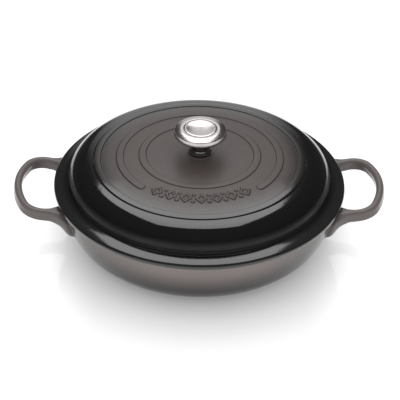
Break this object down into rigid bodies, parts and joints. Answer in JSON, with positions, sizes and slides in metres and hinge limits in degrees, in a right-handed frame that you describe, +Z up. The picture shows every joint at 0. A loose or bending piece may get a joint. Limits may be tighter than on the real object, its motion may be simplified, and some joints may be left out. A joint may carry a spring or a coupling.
{
  "type": "lidded shallow casserole",
  "caption": "Lidded shallow casserole, or braiser, in enamelled cast iron, with loop handles cast in one with the pot and a lid that lifts off by a steel knob.",
  "frame": {"origin": "middle of the foot's face, on the surface that the pot stands on, under the knob's axis", "axes": "+X towards a handle, -Y towards the ornament on the lid, +Z up along the knob's axis"},
  "size_m": [0.3964, 0.31, 0.134],
  "materials": {
    "pot_enamel": "glossy warm-grey enamel outside, pale sand enamel inside, matte black at the rim",
    "lid_enamel": "glossy warm-grey enamel that darkens to near black at the edge, pale sand enamel underneath",
    "knob_steel": "satin stainless steel, turned and polished",
    "fixing_steel": "plain stainless steel"
  },
  "bodies": {
    "pot": {"pot": "pot_enamel"},
    "lid": {"lid": "lid_enamel", "knob_crown": "knob_steel", "knob_skirt": "knob_steel", "knob_stem": "knob_steel", "flat_washer": "fixing_steel", "spring_washer": "fixing_steel", "knob_screw": "fixing_steel"}
  },
  "joints": [
    {"name": "lid_lift", "type": "slide", "parent": "pot", "child": "lid", "axis": [0, 0, 1], "range_m": [0, 0.15]}
  ]
}
